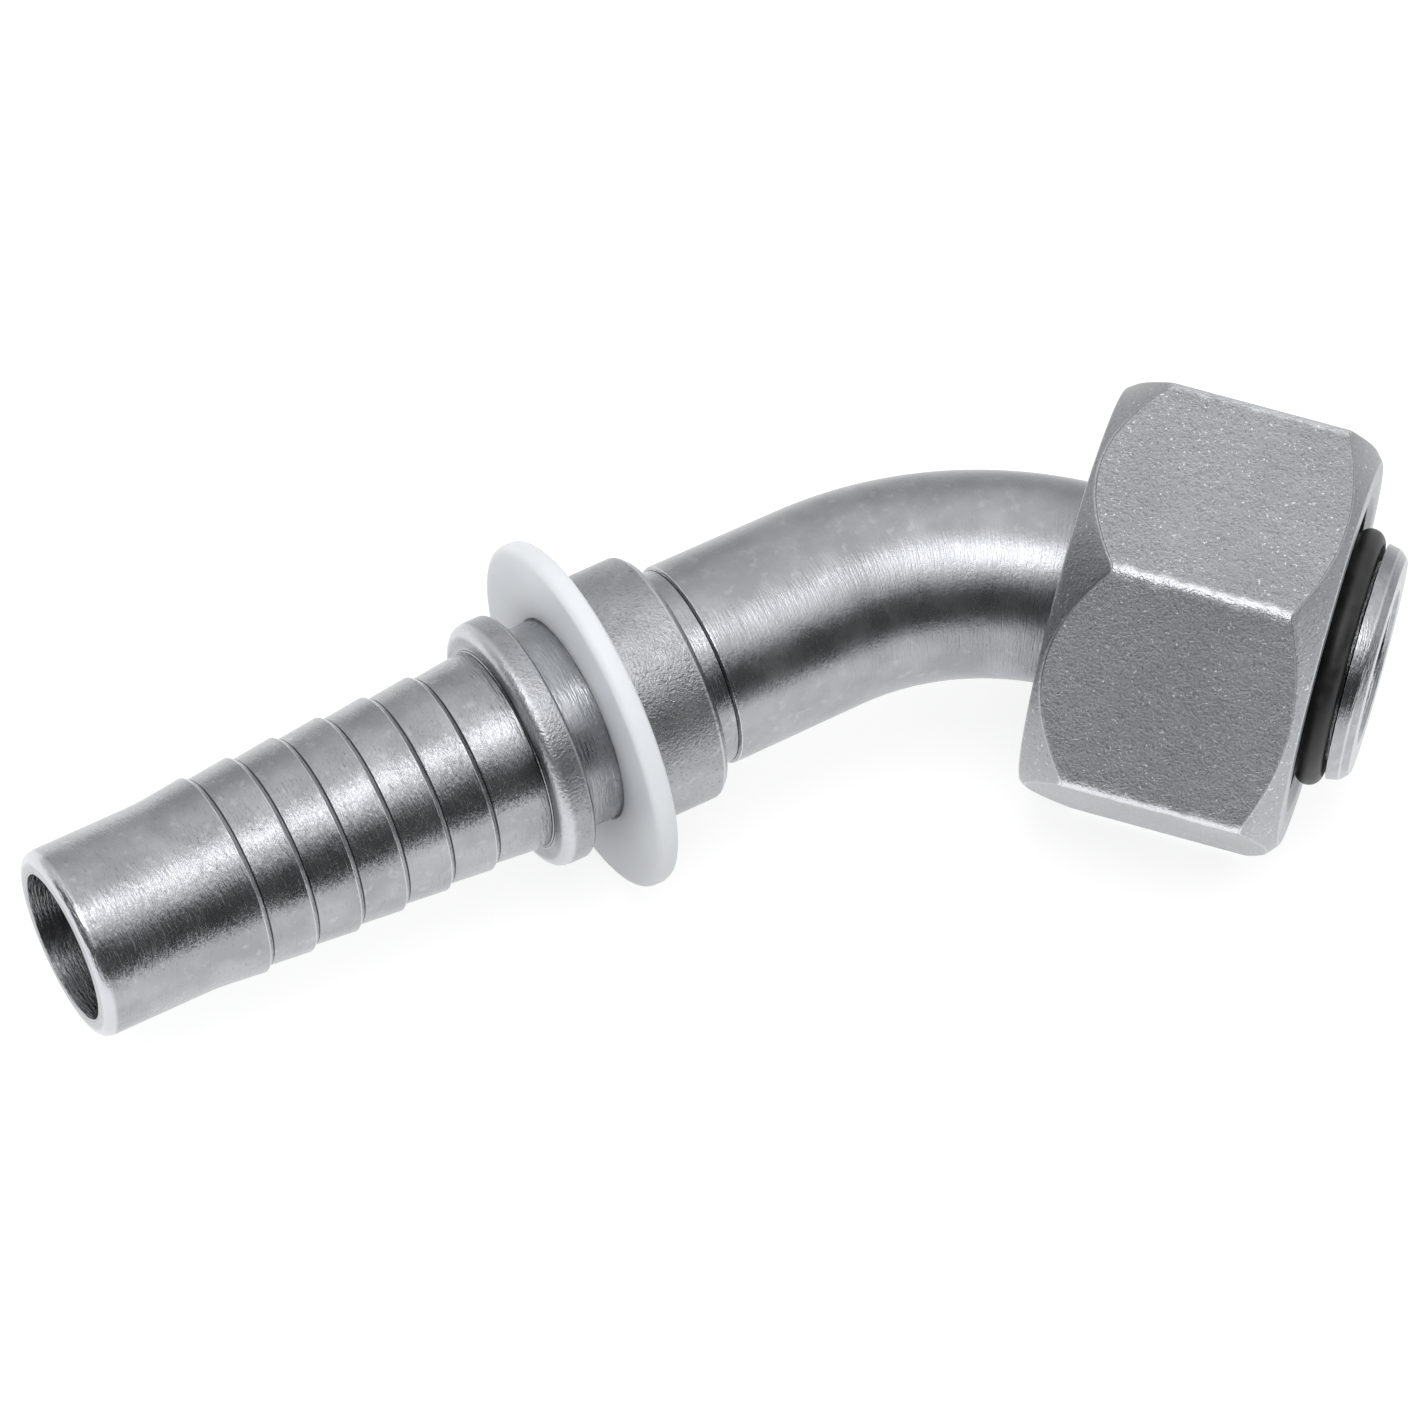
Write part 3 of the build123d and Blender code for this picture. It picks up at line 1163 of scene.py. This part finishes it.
@dataclass(frozen=True)
class RubberFinish:
    """Black rubber with a soft sheen."""

    tone: float = 0.012

    def build(self) -> bpy.types.Material:
        """Make the material, with a faint bloom in places.

        Returns:
            The finish.
        """
        shading = Shading("black_rubber")
        place = shading.millimetres()
        bloom = shading.between(shading.noise(place, 1.2, 2.0, 0.5, 4.0), 0.4, 0.7)
        base = shading.blend(bloom, grey(self.tone), grey(self.tone * 2.2))
        relief = shading.bump(shading.noise(place, 0.2, 2.0, 0.5, 6.0), 0.01)
        rough = shading.between(bloom, 0.0, 1.0, 0.42, 0.5)
        return shading.put(Base_Color=base, Roughness=rough, Normal=relief)


@dataclass(frozen=True)
class PlasticFinish:
    """Milky plastic that lets a little light through, as the stop ring's.

    Attributes:
        tone: how light the plastic is.
        tint: its slight colour.
        depth: how far light wanders in it, in millimetres.
    """

    tone: float = 0.82
    tint: Tint = (0.92, 0.955, 1.0)
    depth: float = 2.2

    def build(self) -> bpy.types.Material:
        """Make the material, very slightly uneven.

        Returns:
            The finish.
        """
        shading = Shading("white_plastic")
        place = shading.millimetres()
        cloud = shading.between(shading.noise(place, 4.0, 2.0, 0.5, 8.0), 0.3, 0.7)
        base = shading.blend(cloud, grey(self.tone * 0.97, self.tint), grey(self.tone, self.tint))
        relief = shading.bump(shading.noise(place, 0.5, 2.0, 0.5, 11.0), 0.01)
        rough = shading.between(cloud, 0.0, 1.0, 0.34, 0.4)
        return shading.put(
            Base_Color=base,
            Roughness=rough,
            Normal=relief,
            IOR=1.46,
            Subsurface_Weight=0.9,
            Subsurface_Radius=(1.0, 1.0, 1.0),
            Subsurface_Scale=self.depth * MILLIMETRE,
        )


@dataclass(frozen=True)
class StudioFinish:
    """The pale floor and the light tent's inner skin.

    Attributes:
        floor_tone: how light the floor's paper is.
        floor_glow: glow that the floor adds towards what sees it, under the part's soft shadow.
        mirrored_back: share of that glow that metal mirrors from far behind the part.
        mirrored_front: the same from far in front of it.
        fade_behind: where along Y the first share sets in, in millimetres.
        fade_ahead: the same for the second share.
        front_glow: the tent's glow low in front, as mirrored by metal.
        back_glow: the same low behind.
        high_glow: the same at the top of the back.
        top_glow: the same at the top of the front.
        even_glow: the tent's glow for matt surfaces.
        flag_side: how far forward the dark flag's sides are, as a share of the tent's radius.
        flag_top: how high its upper edge is, as a share of the same.
    """

    floor_tone: float = 0.4
    floor_glow: float = 0.74
    mirrored_back: float = 0.35
    mirrored_front: float = 0.1
    fade_behind: tuple[float, float] = (0.0, 70.0)
    fade_ahead: tuple[float, float] = (-220.0, -90.0)
    front_glow: float = 0.08
    back_glow: float = 0.6
    high_glow: float = 1.1
    top_glow: float = 1.5
    even_glow: float = 1.0
    flag_side: tuple[float, float] = (-0.12, 0.08)
    flag_top: tuple[float, float] = (0.62, 0.93)

    def floor(self) -> bpy.types.Material:
        """Make the floor's paper: it glows towards whatever sees it, and keeps the shadow.

        Returns:
            The material.
        """
        shading = Shading("studio_paper")
        shading.put(Base_Color=grey(self.floor_tone), Roughness=0.9, Specular_IOR_Level=0.0)
        place = shading.node("ShaderNodeSeparateXYZ")
        shading.feed(place.inputs[0], shading.millimetres())
        behind = shading.between(place.outputs["Y"], *self.fade_behind, 1.0, self.mirrored_back)
        ahead = shading.between(place.outputs["Y"], *self.fade_ahead, self.mirrored_front, 1.0)
        straight = shading.node("ShaderNodeLightPath").outputs["Is Camera Ray"]
        kept = shading.math("MAXIMUM", shading.math("MINIMUM", behind, ahead), straight)
        glow = shading.node("ShaderNodeEmission")
        glow.inputs["Color"].default_value = grey(1.0)
        strength = shading.times(shading.times(shading.seen(), kept), self.floor_glow)
        shading.feed(glow.inputs["Strength"], strength)
        joined = shading.node("ShaderNodeAddShader")
        shading.feed(joined.inputs[0], shading.shader.outputs["BSDF"])
        shading.feed(joined.inputs[1], glow.outputs["Emission"])
        return shading.show(joined, "Shader")

    def choice(self, shading: Shading, share: Socket, first: Value, second: Value) -> Socket:
        """Go from one number to another.

        Args:
            shading: the material's tree.
            share: 0 for the first number, 1 for the second.
            first: the number at 0.
            second: the number at 1.

        Returns:
            The chosen number.
        """
        mixed = shading.node("ShaderNodeMix", data_type="FLOAT")
        shading.feed(mixed.inputs[0], share)
        shading.feed(mixed.inputs[2], first)
        shading.feed(mixed.inputs[3], second)
        return mixed.outputs[0]

    def tent(self) -> bpy.types.Material:
        """Make the tent's skin: its glow depends on where it hangs, with a dark flag low in front.

        Returns:
            The material.
        """
        shading = Shading("tent_skin")
        unit = shading.node("ShaderNodeVectorMath", operation="NORMALIZE")
        shading.feed(unit.inputs[0], shading.node("ShaderNodeTexCoord").outputs["Object"])
        heading = shading.node("ShaderNodeSeparateXYZ")
        shading.feed(heading.inputs[0], unit.outputs[0])
        height = heading.outputs["Z"]
        facing = shading.between(shading.times(heading.outputs["Y"], -1.0), *self.flag_side)
        in_front = shading.between(height, *self.flag_top, self.front_glow, self.top_glow)
        at_back = shading.between(height, 0.0, 1.0, self.back_glow, self.high_glow)
        mirrored = self.choice(shading, facing, at_back, in_front)
        matt = shading.node("ShaderNodeLightPath").outputs["Is Diffuse Ray"]
        glow = shading.node("ShaderNodeEmission")
        glow.inputs["Color"].default_value = grey(1.0)
        shading.feed(glow.inputs["Strength"], self.choice(shading, matt, mirrored, self.even_glow))
        shading.material.cycles.emission_sampling = "NONE"
        return shading.show(glow, "Emission")


@dataclass
class Studio:
    """Floor, light tent, lamp and camera round the part. Sizes in millimetres.

    The camera stands where the photo's outline says: it looks at the middle of the photo's frame from the
    given azimuth, turned from -Y towards +X, and elevation, rolled about its own axis.
    """

    floor_height: float
    finish: StudioFinish = field(default_factory=StudioFinish)
    azimuth: float = math.radians(10.882)
    elevation: float = math.radians(54.865)
    roll: float = math.radians(-6.357)
    aim: tuple[float, float, float] = (-39.976, -17.265, 0.0)
    distance: float = 631.31
    focal_pixels: float = 9843.0
    frame_pixels: float = 1425.0
    sensor_width: float = 36.0
    floor_radius: float = 4000.0
    floor_rings: int = 24
    floor_columns: int = 96
    tent_radius: float = 1500.0
    tent_rings: int = 24
    tent_columns: int = 64
    tent_top: float = 0.985 * math.pi / 2
    lamp_place: tuple[float, float, float] = (-40.0, -200.0, 900.0)
    lamp_size: float = 380.0
    lamp_watts: float = 1.3
    world_shade: float = 0.5

    def build_camera(self) -> None:
        """Place the camera: its back axis points at the viewer, and its level right axis is rolled."""
        flat = math.cos(self.elevation)
        side, depth = math.sin(self.azimuth), math.cos(self.azimuth)
        back = Vector((flat * side, -flat * depth, math.sin(self.elevation)))
        level = Vector((depth, side, 0.0))
        up = back.cross(level) * math.cos(self.roll) + level * math.sin(self.roll)
        turn = Matrix((up.cross(back), up, back)).transposed().to_4x4()
        lens = bpy.data.cameras.new("photo_view")
        lens.sensor_width = self.sensor_width
        lens.lens = self.focal_pixels / self.frame_pixels * self.sensor_width
        lens.clip_end = 100.0
        camera = bpy.data.objects.new("photo_view", lens)
        place = (Vector(self.aim) + back * self.distance) * MILLIMETRE
        camera.matrix_world = Matrix.Translation(place) @ turn
        bpy.context.scene.collection.objects.link(camera)
        bpy.context.scene.camera = camera

    def build_floor(self) -> None:
        """Lay a round sheet of paper under the part, in rings whose radii grow as a square."""
        reach = np.linspace(0.02, 1.0, self.floor_rings)[:, None] ** 2 * self.floor_radius
        around = np.arange(self.floor_columns) / self.floor_columns * FULL_TURN
        height = np.full((self.floor_rings, self.floor_columns), self.floor_height)
        rings = np.stack([reach * np.cos(around), reach * np.sin(around), height], axis=-1)
        floor = ringed_sheet("studio_floor", rings, np.array([0.0, 0.0, self.floor_height]))
        floor.data.materials.append(self.finish.floor())
        floor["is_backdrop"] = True

    def build_tent(self) -> None:
        """Hang a half sphere of glowing cloth over the part, which the camera and shadows miss."""
        rise = np.linspace(self.tent_top, 0.0, self.tent_rings)[:, None]
        around = np.arange(self.tent_columns) / self.tent_columns * FULL_TURN
        height = np.broadcast_to(np.sin(rise), (self.tent_rings, self.tent_columns))
        flat = np.cos(rise)
        heading = np.stack([flat * np.cos(around), flat * np.sin(around), height], axis=-1)
        top = np.array([0.0, 0.0, self.tent_radius])
        tent = ringed_sheet("light_tent", heading * self.tent_radius, top)
        tent.data.materials.append(self.finish.tent())
        tent.visible_camera = False
        tent.visible_shadow = False
        tent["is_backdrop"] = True

    def build_lamp(self) -> None:
        """Hang a square soft lamp overhead that faces the part."""
        lamp = bpy.data.lights.new("overhead_softbox", "AREA")
        lamp.shape = "SQUARE"
        lamp.size = self.lamp_size * MILLIMETRE
        lamp.energy = self.lamp_watts
        holder = bpy.data.objects.new("overhead_softbox", lamp)
        place = Vector(self.lamp_place)
        turn = (place - Vector(self.aim)).to_track_quat("Z", "Y").to_matrix().to_4x4()
        holder.matrix_world = Matrix.Translation(place * MILLIMETRE) @ turn
        bpy.context.scene.collection.objects.link(holder)

    def build_world(self) -> None:
        """Fill what lies beyond the tent and floor: white for what sees it, plain grey for shading."""
        world = bpy.data.worlds.new("studio_world")
        bpy.context.scene.world = world
        world.use_nodes = True
        steps = NodeSteps(world.node_tree)
        back = steps.tree.nodes["Background"]
        back.inputs["Color"].default_value = grey(1.0)
        steps.feed(back.inputs["Strength"], steps.between(steps.seen(), 0.0, 1.0, self.world_shade, 1.0))

    def build(self) -> None:
        """Set up the whole studio, with the plain view transform, so that a colour shows as written."""
        bpy.context.scene.view_settings.view_transform = "Standard"
        self.build_camera()
        self.build_floor()
        self.build_tent()
        self.build_world()
        self.build_lamp()


class Fitting:
    """The whole fitting: it builds the pieces on the solids' own places and dresses them."""

    def __init__(self, frame: dict) -> None:
        """Read the stem's roll and the tail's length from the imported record.
        """
        mounts = {mount["name"]: mount for mount in frame["record"]["mounts"]}
        tail = mounts["tail_mouth"]
        heading = tail["axis"]
        self.path = StemPath(droop=math.atan2(-heading[2], -heading[1]))
        self.tail_length = tail["dims"]["length_mm"]

    def dress(
        self, piece: bpy.types.Object, body: str, node: str, material: bpy.types.Material
    ) -> None:
        """Give a piece its material and say what it stands for.

        Args:
            piece: the new mesh object.
            body: the body that it moves with.
            node: the solid that it replaces.
            material: its finish.
        """
        piece.data.materials.append(material)
        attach(piece, body)
        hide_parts(node)
        LOG.info("%s stands for %s with %d faces", piece.name, node, len(piece.data.polygons))

    def build(self) -> None:
        """Build and dress the four pieces."""
        stem = HoseStem(self.path, self.tail_length)
        ring = StopRing(self.path, stem.neck_start)
        self.dress(stem.build(), "stem", "hose_stem", StemFinish().build())
        self.dress(SwivelNut().build(), "nut", "swivel_nut", NutFinish().build())
        self.dress(SealRing().build(), "stem", "o_ring", RubberFinish().build())
        self.dress(ring.build(), "ring", "stop_ring", PlasticFinish().build())


def corners_of(bounds: tuple) -> list[list[float]]:
    """The lowest and highest corner of a box as plain lists."""
    return [list(corner) for corner in bounds]


def main() -> None:
    """Build the studio and the fitting."""
    logging.basicConfig(level=logging.INFO, format="%(name)s: %(message)s")
    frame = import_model()
    solid_box = corners_of(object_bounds())
    Studio(floor_height=solid_box[0][2] / MILLIMETRE).build()
    Fitting(frame).build()


if __name__ == "__main__":
    main()
